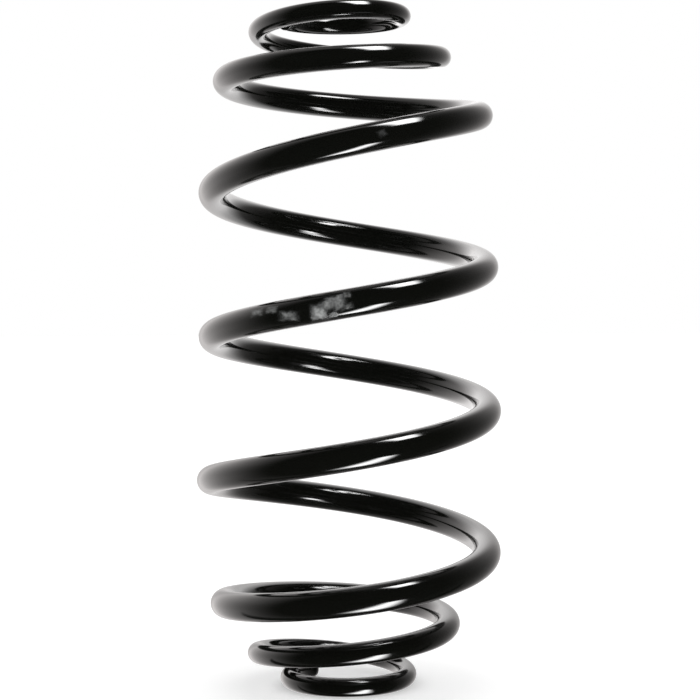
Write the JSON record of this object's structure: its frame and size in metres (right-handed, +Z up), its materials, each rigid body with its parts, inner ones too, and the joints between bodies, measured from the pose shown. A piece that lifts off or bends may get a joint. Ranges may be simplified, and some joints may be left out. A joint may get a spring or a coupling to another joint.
{
  "type": "suspension spring",
  "caption": "Black painted suspension spring: a tapered round bar wound into a barrel-shaped coil, narrowing at both ends into a small flat end coil.",
  "frame": {"origin": "on the plane that the lower end coil stands on, at the middle of the spring's outline seen from above", "axes": "+Z up along the spring's axis, from the lower end coil to the upper one; both end coils sit a little towards -X"},
  "size_m": [0.1318, 0.132, 0.293],
  "materials": {
    "black_paint": "gloss"
  },
  "bodies": {
    "root": {"coil_spring": "black_paint"}
  },
  "joints": []
}
